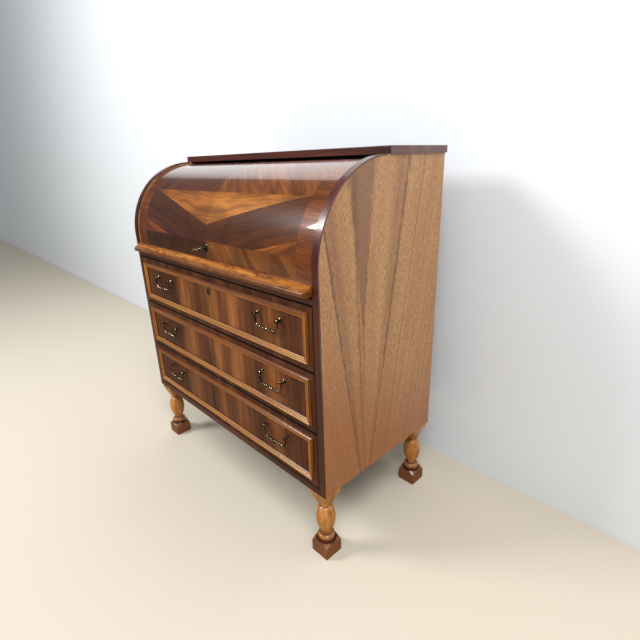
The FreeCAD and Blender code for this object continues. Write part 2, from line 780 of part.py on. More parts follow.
def slide_moulding():
    """The figured front of the slide: a slope down to a lip, with its two front corners cut off."""
    body = new_body("slide_moulding")
    toe = f"({FRONT} - moulding_reach)"
    under = f"({WRITING} - moulding_drop)"
    pad(body, outline(new_sketch(body, "YZ_Plane"), [
        (f"{FRONT} + lid_recess", WRITING),
        (f"{FRONT} - 1", WRITING),
        (f"{toe} + 3", f"{under} + moulding_lip + 4"),
        (toe, f"{under} + moulding_lip"),
        (toe, f"{under} + 3"),
        (f"{toe} + moulding_shoulder", under),
        (f"{FRONT} + lid_recess", under),
    ], {1: ("moulding_reach * 2.5", -1), 2: ("5.5", 1)}), f"2 * ({INNER} - slide_gap)")
    ends = new_sketch(body, "XY_Plane")
    for sign in (-1, 1):
        corner = [
            (f"{sign} * ({INNER} + 1)", f"{toe} - 1"),
            (f"{sign} * ({INNER} + 1)", f"{toe} + moulding_corner + 1"),
            (f"{sign} * ({INNER} - slide_gap - moulding_corner - 1)", f"{toe} - 1"),
        ]
        outline(ends, corner)
    pocket(body, ends, "3 * total_height")
    return keep(body)


slide_moulding()

# ---------------------------------------------------------------- lid

key_y = f"({LOCK_Y} + lock_depth - 3)"
lid_void = keyhole("lid_keyhole", LOCK_Z, f"{LID_FACE} - plate_thickness - 2", "lid_thickness + 6")
lid_bolt_low = f"({LOCK_Z} - lock_below)"
lid_bolt_y = f"({LOCK_Y} + (lock_depth - bolt_thickness) / 2)"
lid_channel = block(
    "lid_bolt_channel",
    ("-bolt_width / 2 - bolt_slack", f"{lid_bolt_y} - bolt_slack", f"{LID_FOOT} - 2 * bolt_throw"),
    ("bolt_width + 2 * bolt_slack", "bolt_thickness + 2 * bolt_slack",
     f"{LOCK_Z} - lock_chamber - {LID_FOOT} + 2 * bolt_throw"),
)
keep(block("lid_lock_bolt", ("-bolt_width / 2", lid_bolt_y, lid_bolt_low),
           ("bolt_width", "bolt_thickness", f"{LOCK_Z} - lock_chamber - {lid_bolt_low}")))
oval_plate("lid_escutcheon", LID_FACE, LOCK_Z, lid_void)
lid_lock = lock_case("lid_lock", LOCK_Y, LOCK_Z, "lock_below", "lock_above", lid_void, lid_channel)
keep(cut("writing_board", across(
    "writing_board_blank", LID_FACE, f"{BACK} - slide_back_gap", SLIDE_LOW, "slide_thickness", "slide_gap",
), lid_channel))


def lid_panel():
    """The barrel: a veneered shell about the lid's axis, with a straight skirt down to the slide."""
    body = new_body("lid_panel_blank")
    end = f"({AXIS_Y} + lid_tuck)"
    inner_y = f"({LID_FACE} + lid_thickness)"
    pad(body, outline(new_sketch(body, "YZ_Plane"), [
        (LID_FACE, LID_FOOT),
        (inner_y, LID_FOOT),
        (inner_y, AXIS_Z),
        (end, f"{AXIS_Z} + sqrt({LID_INNER} * {LID_INNER} - lid_tuck * lid_tuck)"),
        (end, f"{AXIS_Z} + sqrt({LID_OUTER} * {LID_OUTER} - lid_tuck * lid_tuck)"),
        (LID_FACE, AXIS_Z),
    ], {2: (LID_INNER, -1), 4: (LID_OUTER, 1)}), f"2 * {LID_HALF}")
    return keep(cut("lid_panel", body, group("lid_panel_voids", [lid_lock, lid_void])))


def lid_quadrant(hand, sign):
    """A quadrant-shaped end board that carries the barrel on its pivot."""
    body = new_body(f"lid_quadrant_{hand}",
                    (f"{sign} * ({LID_HALF} - quadrant_thickness / 2)", AXIS_Y, AXIS_Z))
    rim = f"({LID_INNER} * 0.9996)"
    low = "hub_radius * 0.6"
    pad(body, outline(new_sketch(body, "YZ_Plane"), [
        (f"-{rim} + 1", "0.5"),
        ("-hub_radius", f"-{low}"),
        (low, f"-{low}"),
        (low, "hub_radius"),
        ("lid_tuck", f"sqrt({rim} * {rim} - lid_tuck * lid_tuck)"),
        (f"-sqrt({rim} * {rim} - 1)", "1"),
    ], {4: (rim, 1)}), "quadrant_thickness")
    bore = new_sketch(body, "YZ_Plane")
    hole = bore.addGeometry(Part.Circle(Vector(0, 0, 0), Vector(0, 0, 1), number("pivot_radius")))
    bore.addConstraint(Sketcher.Constraint("Coincident", hole, 3, -1, 1))
    limit = bore.addConstraint(Sketcher.Constraint("Radius", hole, number("pivot_radius")))
    bind(bore, f"Constraints[{limit}]", "pivot_radius + running_clearance")
    pocket(body, bore, "4 * quadrant_thickness")
    return keep(body)


lid_panel()
for hand, sign in (("left", -1), ("right", 1)):
    lid_quadrant(hand, sign)

# The key stands in the lid's lock, its bow nearly flat.
key_length = f"({key_y} - {FRONT} + key_reach - 2 * key_bow - key_wire)"
bow = doc.addObject("Part::Torus", "key_bow_ring")
bind(bow, "Radius1", "key_bow")
bind(bow, "Radius2", "key_wire")
place(bow, ("0", "key_bow + key_wire", "0"))
key = fuse("key", [
    bow,
    rod("key_stem", "key_shaft", key_length, ("0", "2 * key_bow + key_wire", "0"), Vector(0, 1, 0)),
    rod("key_collar", "key_shaft * 1.5", "key_shaft", ("0", "2 * key_bow + 3 * key_wire", "0"), Vector(0, 1, 0)),
    block("key_bit_flag", ("-key_shaft - key_bit", f"2 * key_bow + key_wire + {key_length} - 5", "-0.9"),
          ("key_shaft + key_bit", "4", "1.8")),
])
key.Placement = Placement(Vector(), Rotation(Vector(0, 1, 0), number("key_tilt")))
for axis, formula in zip("xyz", ("0", f"{FRONT} - key_reach", LOCK_Z)):
    bind(key, f"Placement.Base.{axis}", formula)
keep(key)

# ---------------------------------------------------------------- desk floor, pigeonholes, small drawers

keep(across("desk_floor", f"{AXIS_Y} + floor_setback", INSIDE_BACK, FLOOR_LOW, "floor_thickness"))
NEST_Y = f"({AXIS_Y} + nest_setback)"
NEST_TOP = f"({AXIS_Z} + {LID_INNER} * nest_rise_share)"
NEST_HALF = f"({LID_HALF} - quadrant_thickness - nest_side_gap)"
NEST_DEPTH = f"({AXIS_Y} + {LID_INNER} * nest_reach_share - nest_back - {NEST_Y})"
NEST_CLEAR = f"({NEST_TOP} - nest_board - {FLOOR_TOP})"
keep(block("pigeonhole_top", (f"-{NEST_HALF}", NEST_Y, f"{NEST_TOP} - nest_board"),
           (f"2 * {NEST_HALF}", NEST_DEPTH, "nest_board")))
keep(block("pigeonhole_back", (f"-{NEST_HALF}", f"{NEST_Y} + {NEST_DEPTH}", FLOOR_TOP),
           (f"2 * {NEST_HALF}", "nest_back", f"{NEST_TOP} - {FLOOR_TOP}")))
keep(group("pigeonhole_uprights", [
    block(f"pigeonhole_upright_{index}", (f"{centre} - nest_board / 2", NEST_Y, FLOOR_TOP),
          ("nest_board", NEST_DEPTH, NEST_CLEAR))
    for index, centre in enumerate((
        f"-({NEST_HALF} - nest_board / 2)", "-nest_bay", "-nest_slot", "nest_slot", "nest_bay",
        f"({NEST_HALF} - nest_board / 2)"))
]))
BAY_LOW = "(nest_bay + nest_board / 2)"
BAY_WIDTH = f"({NEST_HALF} - nest_bay - 1.5 * nest_board)"
keep(group("pigeonhole_shelves", [
    block(f"pigeonhole_shelf_{sign + 1}",
          (f"{sign} * ({BAY_LOW} + {BAY_WIDTH} / 2) - {BAY_WIDTH} / 2", NEST_Y,
           f"{FLOOR_TOP} + small_drawer_height + 2 * small_gap"),
          (BAY_WIDTH, NEST_DEPTH, "nest_shelf"))
    for sign in (-1, 1)
]))


def small_drawer(hand, sign):
    """A little drawer under the pigeonhole shelf, with a turned knob."""
    label = f"small_drawer_{hand}"
    centre = f"{sign} * ({BAY_LOW} + {BAY_WIDTH} / 2)"
    width = f"({BAY_WIDTH} - 2 * small_gap)"
    low = f"({FLOOR_TOP} + glide_clearance)"
    wall = "small_drawer_wall"
    shell = block(f"{label}_block", (f"{centre} - {width} / 2", NEST_Y, low),
                  (width, f"{NEST_DEPTH} - small_gap", "small_drawer_height"))
    void = block(f"{label}_void", (f"{centre} - {width} / 2 + {wall}", f"{NEST_Y} + {wall}", f"{low} + {wall}"),
                 (f"{width} - 2 * {wall}", f"{NEST_DEPTH} - small_gap - 2 * {wall}", "small_drawer_height"))
    stem = rod(f"{label}_stem", "small_knob_radius / 2", "small_knob_reach - small_knob_radius",
               (centre, NEST_Y, f"{low} + small_drawer_height / 2"), Vector(0, -1, 0))
    ball = doc.addObject("Part::Sphere", f"{label}_ball")
    bind(ball, "Radius", "small_knob_radius")
    place(ball, (centre, f"{NEST_Y} - small_knob_reach + small_knob_radius", f"{low} + small_drawer_height / 2"))
    keep(group(label, [cut(f"{label}_shell", shell, void), fuse(f"{label}_knob", [stem, ball])]))


for hand, sign in (("left", -1), ("right", 1)):
    small_drawer(hand, sign)

# ---------------------------------------------------------------- write the pieces

doc.recompute()
failed = [thing.Label for thing in doc.Objects if {"Invalid", "Error"} & set(thing.State)]
if failed:
    raise RuntimeError(f"these failed: {failed}")
for piece in PARTS:
    if piece.Shape.isNull() or not piece.Shape.isValid() or not piece.Shape.Solids:
        raise RuntimeError(f"{piece.Label} has no sound shape")

os.makedirs("parts", exist_ok=True)
for piece in PARTS:
    piece.Shape.exportStep(f"parts/{piece.Label}.step")
print(len(PARTS), "pieces written")
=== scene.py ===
"""Looks of a cylinder (roll top) desk: veneers, mouldings, aged brass, and a plain studio round it."""

import logging
import math
from dataclasses import dataclass
from enum import Enum
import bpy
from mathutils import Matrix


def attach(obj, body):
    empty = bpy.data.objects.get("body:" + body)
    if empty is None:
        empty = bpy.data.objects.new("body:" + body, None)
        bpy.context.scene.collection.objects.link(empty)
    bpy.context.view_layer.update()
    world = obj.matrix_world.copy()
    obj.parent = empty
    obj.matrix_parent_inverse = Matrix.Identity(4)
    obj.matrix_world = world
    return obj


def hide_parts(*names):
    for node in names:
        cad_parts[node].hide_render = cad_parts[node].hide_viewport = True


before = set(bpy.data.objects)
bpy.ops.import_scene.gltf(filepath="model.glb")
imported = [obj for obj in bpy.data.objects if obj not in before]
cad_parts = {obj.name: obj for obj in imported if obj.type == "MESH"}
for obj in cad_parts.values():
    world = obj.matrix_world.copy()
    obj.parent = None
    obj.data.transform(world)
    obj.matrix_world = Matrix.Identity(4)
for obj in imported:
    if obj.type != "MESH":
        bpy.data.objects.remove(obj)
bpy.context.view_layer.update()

from fnmatch import fnmatchcase
from typing import Union

import bpy
import numpy as np
from mathutils import Matrix, Vector

LOG = logging.getLogger("desk")

Colour = tuple[float, float, float]
Point = tuple[float, float, float]
Socket = bpy.types.NodeSocket
Wire = Union[Socket, float]


def srgb(red: int, green: int, blue: int) -> Colour:
    """Turn a display colour of 0 to 255 into the linear colour that shaders use.

    Args:
        red: display red.
        green: display green.
        blue: display blue.

    Returns:
        The linear colour: each channel c / 255 raised to the power 2.2.
    """
    return tuple((c / 255) ** 2.2 for c in (red, green, blue))


class Grain(Enum):
    """Which way a board's grain runs, as the turn that brings that way onto Z."""

    UPRIGHT = (0.0, 0.0, 0.0)
    SIDEWAYS = (0.0, math.pi / 2, 0.0)
    INWARD = (math.pi / 2, 0.0, 0.0)


class Shader:
    """A material under construction, with short names for the nodes that it is made of."""

    def __init__(self, name: str) -> None:
        """Start an empty node material with one Principled shader.

        Args:
            name: the material's name.
        """
        self.material = bpy.data.materials.new(name)
        self.material.use_nodes = True
        self.tree = self.material.node_tree
        self.tree.nodes.clear()
        self.surface = self.tree.nodes.new("ShaderNodeBsdfPrincipled")
        output = self.tree.nodes.new("ShaderNodeOutputMaterial")
        self.tree.links.new(self.surface.outputs[0], output.inputs["Surface"])

    def node(self, kind: str, **settings: object) -> bpy.types.Node:
        """Add a node and set its properties.

        Args:
            kind: the node's type, without the ShaderNode before it.
            settings: the node's properties by name.

        Returns:
            The new node.
        """
        node = self.tree.nodes.new(f"ShaderNode{kind}")
        for name, value in settings.items():
            setattr(node, name, value)
        return node

    def feed(self, socket: Socket, value: object) -> None:
        """Link a socket to another, or set its value.

        Args:
            socket: the input to feed.
            value: another node's output, a number, a vector or a colour.
        """
        if isinstance(value, bpy.types.NodeSocket):
            self.tree.links.new(value, socket)
        elif isinstance(value, tuple) and len(value) == 3 and len(socket.default_value) == 4:
            socket.default_value = (*value, 1.0)
        else:
            socket.default_value = value

    def place(self) -> Socket:
        """Read where the surface is.

        Returns:
            The point in the desk's own frame, in metres.
        """
        return self.node("TexCoord").outputs["Object"]

    def split(self, vector: Socket) -> tuple[Socket, Socket, Socket]:
        """Take a vector apart.

        Args:
            vector: the vector.

        Returns:
            Its three parts.
        """
        node = self.node("SeparateXYZ")
        self.feed(node.inputs[0], vector)
        return tuple(node.outputs)

    def join(self, x: Wire, y: Wire, z: Wire) -> Socket:
        """Make a vector.

        Args:
            x: the first part.
            y: the second part.
            z: the third part.

        Returns:
            The vector.
        """
        node = self.node("CombineXYZ")
        for socket, value in zip(node.inputs, (x, y, z)):
            self.feed(socket, value)
        return node.outputs[0]

    def maths(self, operation: str, *values: Wire) -> Socket:
        """Do one step of arithmetic.

        Args:
            operation: what to do, as Blender's Math node names it.
            values: one to three values. MULTIPLY_ADD is the first times the second, plus the third.

        Returns:
            The result.
        """
        node = self.node("Math", operation=operation)
        for socket, value in zip(node.inputs, values):
            self.feed(socket, value)
        return node.outputs[0]

    def turn(self, vector: Socket, angles: Point, size: Point = (1, 1, 1), shift: Point = (0, 0, 0)) -> Socket:
        """Scale, turn, then move a vector.

        Args:
            vector: the vector.
            angles: the turns about X, Y and Z, in radians.
            size: what each part is multiplied by first.
            shift: what is added last.

        Returns:
            The changed vector.
        """
        node = self.node("Mapping")
        for name, value in (("Vector", vector), ("Rotation", angles), ("Scale", size), ("Location", shift)):
            self.feed(node.inputs[name], value)
        return node.outputs[0]

    def stretch(self, vector: Socket, across: float, along: float, seed: float = 0.0) -> Socket:
        """Divide a grain vector by a feature's size, so that the feature is one unit big.

        Args:
            vector: a vector in metres whose third part runs along the grain.
            across: the feature's width, in metres.
            along: the feature's length, in metres.
            seed: moves the pattern by different amounts on the three axes.

        Returns:
            The divided vector.
        """
        return self.turn(vector, (0, 0, 0), (1 / across, 1 / across, 1 / along), (seed, seed * 1.7, seed * 0.6))

    def noise(self, vector: Socket, detail: float = 2.0, rough: float = 0.5, bend: float = 0.0) -> Socket:
        """Make smooth noise with features one unit apart.

        Args:
            vector: where to read the noise.
            detail: how many times a finer layer is added.
            rough: how strong each finer layer is against the one before it.
            bend: how far the pattern is pushed out of line.

        Returns:
            The noise, 0 to 1.
        """
        node = self.node("TexNoise")
        for name, value in (("Vector", vector), ("Scale", 1.0), ("Detail", detail), ("Roughness", rough),
                            ("Distortion", bend)):
            self.feed(node.inputs[name], value)
        return node.outputs["Fac"]

    def step(self, value: Wire, low: float, high: float) -> Socket:
        """Rise smoothly from 0 to 1; where low is above high, fall instead.

        Args:
            value: what is measured.
            low: where the result is 0.
            high: where the result is 1.

        Returns:
            The result, 0 to 1.
        """
        node = self.node("MapRange", interpolation_type="SMOOTHSTEP")
        for name, number in (("Value", value), ("From Min", low), ("From Max", high)):
            self.feed(node.inputs[name], number)
        return node.outputs[0]

    def mix(self, factor: Wire, first: object, second: object, blend: str = "MIX") -> Socket:
        """Blend two colours.

        Args:
            factor: 0 for the first colour, 1 for the blended one.
            first: the colour underneath.
            second: the colour on top.
            blend: how they blend, as Blender's Mix node names it.

        Returns:
            The blended colour.
        """
        node = self.node("Mix", data_type="RGBA", blend_type=blend)
        for socket, value in ((node.inputs[0], factor), (node.inputs[6], first), (node.inputs[7], second)):
            self.feed(socket, value)
        return node.outputs[2]

    def stain(self, colour: object, mask: Socket, depth: float, tint: Colour) -> Socket:
        """Lay a tint over a colour, as strongly as a mask times a depth.

        Args:
            colour: the colour underneath.
            mask: where the tint goes, 0 to 1.
            depth: how strong it is at most, 0 to 1.
            tint: the tint.

        Returns:
            The stained colour.
        """
        return self.mix(self.maths("MULTIPLY", mask, depth), colour, tint)

    def ramp(self, value: Socket, stops: dict[float, Colour]) -> Socket:
        """Read a colour from evenly blended stops.

        Args:
            value: where to read, 0 to 1.
            stops: the colours by their places, at least two.

        Returns:
            The colour.
        """
        node = self.node("ValToRGB")
        band = node.color_ramp
        for index, (place, colour) in enumerate(sorted(stops.items())):
            entry = band.elements[index] if index < 2 else band.elements.new(place)
            entry.position = place
            entry.color = (*colour, 1.0)
        self.feed(node.inputs[0], value)
        return node.outputs[0]

    def bump(self, height: Socket, depth: float) -> None:
        """Raise the surface by a height of 0 to 1 times a depth.

        Args:
            height: the height, 0 to 1.
            depth: what a height of 1 stands for, in metres.
        """
        node = self.node("Bump")
        for name, value in (("Strength", 1.0), ("Distance", depth), ("Height", height)):
            self.feed(node.inputs[name], value)
        self.feed(self.surface.inputs["Normal"], node.outputs[0])

    def set(self, **values: object) -> bpy.types.Material:
        """Set the surface's sockets.

        Args:
            values: the sockets' values by name, with underscores for spaces.

        Returns:
            The finished material.
        """
        for name, value in values.items():
            self.feed(self.surface.inputs[name.replace("_", " ")], value)
        return self.material


@dataclass(frozen=True)
class Timber:
    """A timber's colours and figure, shared by every finish that is made of it.

    A stripe is a broad band along the grain, and its width is in metres. The depths are how strongly the
    pores and the fine lines darken the colour, 0 to 1.
    """

    dark: Colour
    middle: Colour
    light: Colour
    stripe: float = 0.035
    pore_depth: float = 0.5
    line_depth: float = 0.35
    stripe_length: float = 16.0
    lines: float = 9.0
    line_length: float = 7.0
    pore_width: float = 0.0008
    pore_run: float = 0.011

    def grow(self, shader: Shader, grain: Socket, seed: float = 0.0) -> tuple[Socket, Socket]:
        """Grow the figure along the third axis of a grain vector.

        Broad stripes pick the colour, finer lines and short pores darken it.

        Args:
            shader: the material under construction.
            grain: a vector in metres whose third part runs along the grain.
            seed: shifts the pattern, so that each board is its own.

        Returns:
            The colour, and a height of 0 to 1 for the bump.
        """
        broad = shader.noise(shader.stretch(grain, self.stripe, self.stripe * self.stripe_length, seed),
                             3.0, 0.6, 0.25)
        lines = shader.noise(shader.stretch(grain, self.stripe / self.lines, self.stripe * self.line_length,
                                            seed + 3), 3.0, 0.65, 0.1)
        pores = shader.noise(shader.stretch(grain, self.pore_width, self.pore_run, seed + 7), 2.0, 0.6)
        colour = shader.ramp(broad, {0.3: self.dark, 0.5: self.middle, 0.7: self.light})
        shade = shader.maths("MULTIPLY", shader.step(lines, 0.66, 0.34), self.line_depth)
        colour = shader.mix(shade, colour, self.dark, "MULTIPLY")
        pits = shader.step(pores, 0.42, 0.3)
        colour = shader.stain(colour, pits, self.pore_depth, self.dark)
        height = shader.maths("SUBTRACT", shader.maths("MULTIPLY", lines, 0.5), pits)
        return colour, height


WALNUT = Timber(srgb(66, 34, 20), srgb(110, 62, 32), srgb(164, 106, 54), stripe=0.04)
GOLDEN = Timber(srgb(152, 84, 32), srgb(204, 128, 52), srgb(232, 168, 86), stripe=0.02, line_depth=0.5)
MAHOGANY = Timber(srgb(52, 20, 12), srgb(84, 34, 20), srgb(110, 48, 28), stripe=0.03, pore_depth=0.3)
BEECH = Timber(srgb(150, 88, 34), srgb(196, 130, 58), srgb(220, 160, 86), stripe=0.012, pore_depth=0.75)
PINE = Timber(srgb(150, 112, 70), srgb(190, 150, 102), srgb(208, 174, 126), stripe=0.03, pore_depth=0.15)
# A figure without a hue of its own: it is multiplied by a tint, so its light parts are above 1.
PLAIN = Timber((0.4, 0.36, 0.33), (0.85, 0.84, 0.83), (1.35, 1.36, 1.38), stripe=0.016, pore_depth=0.35,
               line_depth=0.65)


@dataclass(frozen=True)
class Board:
    """A plain board's finish: one timber, one grain direction, one polish."""

    name: str
    timber: Timber
    grain: Grain
    roughness: float
    coat: float
    relief: float = 0.00015

    def material(self) -> bpy.types.Material:
        """Build the material: the timber's figure, turned the board's way.

        Returns:
            The material.
        """
        shader = Shader(self.name)
        colour, height = self.timber.grow(shader, shader.turn(shader.place(), self.grain.value))
        shader.bump(height, self.relief)
        return shader.set(Base_Color=colour, Roughness=self.roughness, Coat_Weight=self.coat,
                          Coat_Roughness=0.12)


@dataclass(frozen=True)
class Veneer:
    """One field of the lid: its grain's angle in radians, and its tints right and left of the middle."""

    angle: float
    right: Colour
    left: Colour


@dataclass(frozen=True)
class Marquetry:
    """The lid's veneers, cut as straight-edged fields and mirrored about the lid's middle.

    Places on the lid are (a, s): a is the distance from the middle, and s is the way up the face from
    the skirt's foot, all in metres.
    """

    name: str = "lid_marquetry"
    axis_y: float = 0.010
    axis_z: float = 0.802
    foot: float = 0.774
    radius: float = 0.222
    side_band: float = 0.378
    low_band: float = 0.048
    high_band: float = 0.190
    apex: float = 0.0945
    apex_slope: float = 0.2616
    corner: float = 0.190
    corner_foot: float = 0.040
    corner_slope: float = 0.2474
    ground: Veneer = Veneer(0.22, srgb(105, 59, 28), srgb(97, 52, 27))
    point: Veneer = Veneer(0.10, srgb(212, 134, 56), srgb(194, 117, 50))
    triangle: Veneer = Veneer(0.35, srgb(175, 99, 41), srgb(165, 90, 41))
    top_strip: Veneer = Veneer(-0.72, srgb(151, 86, 39), srgb(113, 61, 33))
    foot_strip: Veneer = Veneer(-0.90, srgb(146, 86, 39), srgb(76, 38, 22))
    side_strip: Veneer = Veneer(-0.12, srgb(144, 78, 35), srgb(132, 71, 35))
    hair: Colour = (0.42, 0.38, 0.35)
    cloud: Colour = srgb(52, 26, 18)
    sway: float = 0.035

    def climb(self, shader: Shader, y: Socket, z: Socket) -> Socket:
        """Work out s: straight up the skirt, then the radius times the angle round the barrel.

        Args:
            shader: the material under construction.
            y: the depth coordinate.
            z: the height coordinate.

        Returns:
            The way up the face, in metres.
        """
        rise = shader.maths("SUBTRACT", z, self.axis_z)
        reach = shader.maths("SUBTRACT", self.axis_y, y)
        angle = shader.maths("ARCTAN2", shader.maths("MAXIMUM", rise, 0.0), reach)
        skirt = shader.maths("ADD", shader.maths("MINIMUM", rise, 0.0), self.axis_z - self.foot)
        return shader.maths("MULTIPLY_ADD", angle, self.radius, skirt)

    def material(self) -> bpy.types.Material:
        """Build the material: each field's mask picks its own grain angle and tint.

        A later field covers an earlier one. The point's lower edge is the apex plus the slope times a, and
        the triangles' upper edge rises in the same way from the corner's foot.

        Returns:
            The material.
        """
        shader = Shader(self.name)
        x, y, z = shader.split(shader.place())
        a = shader.maths("ABSOLUTE", x)
        s = self.climb(shader, y, z)
        below = shader.maths("MULTIPLY_ADD", shader.maths("SUBTRACT", a, self.corner), self.corner_slope,
                             self.corner_foot)
        above = shader.maths("MULTIPLY_ADD", a, self.apex_slope, self.apex)
        right = shader.maths("GREATER_THAN", x, 0.0)
        fields = (
            (shader.maths("GREATER_THAN", s, above), self.point),
            (shader.maths("LESS_THAN", s, below), self.triangle),
            (shader.maths("GREATER_THAN", s, self.high_band), self.top_strip),
            (shader.maths("LESS_THAN", s, self.low_band), self.foot_strip),
            (shader.maths("GREATER_THAN", a, self.side_band), self.side_strip),
        )
        angle: Wire = self.ground.angle
        tint = shader.mix(right, self.ground.left, self.ground.right)
        for mask, veneer in fields:
            angle = shader.maths("ADD", shader.maths("MULTIPLY", angle, shader.maths("SUBTRACT", 1.0, mask)),
                                 shader.maths("MULTIPLY", mask, veneer.angle))
            tint = shader.mix(mask, tint, shader.mix(right, veneer.left, veneer.right))
        spin = shader.node("VectorRotate", rotation_type="Z_AXIS")
        shader.feed(spin.inputs["Vector"], shader.join(a, s, 0.0))
        shader.feed(spin.inputs["Angle"], shader.maths("MULTIPLY", angle, -1.0))
        along, straight, _ = shader.split(spin.outputs[0])
        sweep = shader.noise(shader.turn(shader.join(a, s, angle), (0, 0, 0), (6, 9, 3)), 1.0)
        across = shader.maths("MULTIPLY_ADD", shader.maths("SUBTRACT", sweep, 0.5), self.sway, straight)
        grain = shader.join(across, shader.maths("MULTIPLY", angle, 0.9), along)
        colour, height = PLAIN.grow(shader, grain, 4.0)
        hairs = shader.noise(shader.stretch(grain, 0.0011, 0.06, 5.0), 3.0, 0.7, 0.1)
        colour = shader.stain(colour, shader.step(hairs, 0.57, 0.40), 0.70, self.hair)
        colour = shader.mix(1.0, colour, tint, "MULTIPLY")
        broad = shader.noise(shader.stretch(grain, 0.05, 0.16, 9.0), 2.0, 0.5, 0.8)
        colour = shader.stain(colour, shader.step(broad, 0.55, 0.35), 0.45, self.cloud)
        shader.bump(height, 0.00006)
        return shader.set(Base_Color=colour, Roughness=0.28, Coat_Weight=1.0, Coat_Roughness=0.05,
                          Coat_IOR=1.8, Specular_IOR_Level=0.22)


@dataclass(frozen=True)
class SideFigure:
    """The sides' veneer: streaks that fan upwards from a point low down, with fine flecks throughout."""

    name: str = "side_figure"
    middle: float = -0.060
    narrow: float = 0.036
    spread: float = 0.175
    foot: float = 0.299
    least: float = 0.012
    wedge: float = -0.0045
    wedge_foot: float = 0.575
    wedge_spread: float = 0.024
    ground: tuple[Colour, Colour, Colour] = (srgb(166, 117, 74), srgb(174, 127, 82), srgb(183, 138, 92))
    dark_fleck: Colour = srgb(104, 62, 38)
    light_fleck: Colour = srgb(216, 184, 144)
    red_foot: Colour = srgb(146, 80, 42)
    wedge_tint: Colour = srgb(104, 66, 46)
    streak_tint: Colour = srgb(84, 52, 38)
    # Each streak: its centre and half width at the fan's foot, in metres, and its depth of colour.
    streaks: tuple[tuple[float, float, float], ...] = (
        (-0.0360, 0.0030, 0.75), (0.0340, 0.0028, 0.7), (-0.0300, 0.009, 0.35),
        (0.0280, 0.007, 0.3), (0.095, 0.0030, 0.5), (-0.0105, 0.0030, 0.45))

    def fan(self, shader: Shader, y: Socket, z: Socket) -> Socket:
        """Straighten the fan, so that each streak keeps one value all the way up.

        The fan's half width is the narrow one plus the spread times the height over the foot. Inside it, y
        is scaled back to the foot's width; outside it, y is only shifted.

        Args:
            shader: the material under construction.
            y: the depth coordinate.
            z: the height coordinate.

        Returns:
            The place across the streaks, in metres at the fan's foot.
        """
        off = shader.maths("SUBTRACT", y, self.middle)
        rise = shader.maths("SUBTRACT", z, self.foot)
        wide = shader.maths("MAXIMUM", shader.maths("MULTIPLY_ADD", rise, self.spread, self.narrow),
                            self.least)
        held = shader.maths("MAXIMUM", shader.maths("MINIMUM", off, wide),
                            shader.maths("MULTIPLY", wide, -1.0))
        share = shader.maths("DIVIDE", self.narrow, wide)
        lost = shader.maths("MULTIPLY", held, shader.maths("SUBTRACT", 1.0, share))
        return shader.maths("SUBTRACT", off, lost)

    def material(self) -> bpy.types.Material:
        """Build the material: flecks everywhere, redder low down, then the wedge and the streaks.

        Returns:
            The material.
        """
        shader = Shader(self.name)
        x, y, z = shader.split(shader.place())
        ragged = shader.noise(shader.join(shader.maths("MULTIPLY", y, 160.0), 0.0,
                                          shader.maths("MULTIPLY", z, 26.0)), 3.0, 0.6)
        wobble = shader.maths("MULTIPLY", shader.maths("SUBTRACT", ragged, 0.5), 0.009)
        place = shader.maths("ADD", self.fan(shader, y, z), wobble)
        grain = shader.join(place, shader.maths("MULTIPLY", x, 0.3), shader.maths("MULTIPLY", z, 0.6))
        broad = shader.noise(shader.stretch(grain, 0.020, 0.35, 2.0), 2.0, 0.55, 0.8)
        colour = shader.ramp(broad, dict(zip((0.3, 0.5, 0.7), self.ground)))
        flecks = shader.noise(shader.stretch(shader.join(y, x, z), 0.0016, 0.010, 5.0), 3.0, 0.7, 0.6)
        colour = shader.stain(colour, shader.step(flecks, 0.52, 0.38), 0.72, self.dark_fleck)
        colour = shader.stain(colour, shader.step(flecks, 0.56, 0.72), 0.5, self.light_fleck)
        level = shader.maths("ADD", z, shader.maths("MULTIPLY", y, 0.5))
        colour = shader.stain(colour, shader.step(level, 0.62, 0.30), 0.55, self.red_foot)
        half = shader.maths("MAXIMUM", shader.maths("MULTIPLY_ADD", z, self.wedge_spread,
                                                    -self.wedge_foot * self.wedge_spread), 0.0004)
        gap = shader.maths("ABSOLUTE", shader.maths("SUBTRACT", place, self.wedge))
        wedge = shader.step(shader.maths("DIVIDE", gap, half), 1.35, 0.75)
        colour = shader.stain(colour, wedge, 0.68, self.wedge_tint)
        for centre, width, depth in self.streaks:
            gap = shader.maths("ABSOLUTE", shader.maths("SUBTRACT", place, centre))
            colour = shader.stain(colour, shader.step(gap, width, 0.0), depth, self.streak_tint)
        shader.bump(flecks, 0.00012)
        return shader.set(Base_Color=colour, Roughness=0.5, Coat_Weight=0.12, Coat_Roughness=0.25)


@dataclass(frozen=True)
class DrawerGrid:
    """Where the drawers' fronts are: three of one height, one pitch apart, centred on the middle."""

    foot: float = 0.237
    pitch: float = 0.164
    height: float = 0.161
    half: float = 0.4345
    border: float = 0.017

    def measure(self, shader: Shader, x: Socket, z: Socket) -> tuple[Socket, Socket, Socket]:
        """Measure in from the edges of the front that a point is on, negative outside it.

        Args:
            shader: the material under construction.
            x: the sideways coordinate.
            z: the height coordinate.

        Returns:
            The height over the front's lower edge, the distance from the nearer of its lower and upper
            edges, and the distance from the nearer of its ends, in metres.
        """
        level = shader.maths("MODULO", shader.maths("SUBTRACT", z, self.foot), self.pitch)
        upright = shader.maths("MINIMUM", level, shader.maths("SUBTRACT", self.height, level))
        side = shader.maths("SUBTRACT", self.half, shader.maths("ABSOLUTE", x))
        return level, upright, side


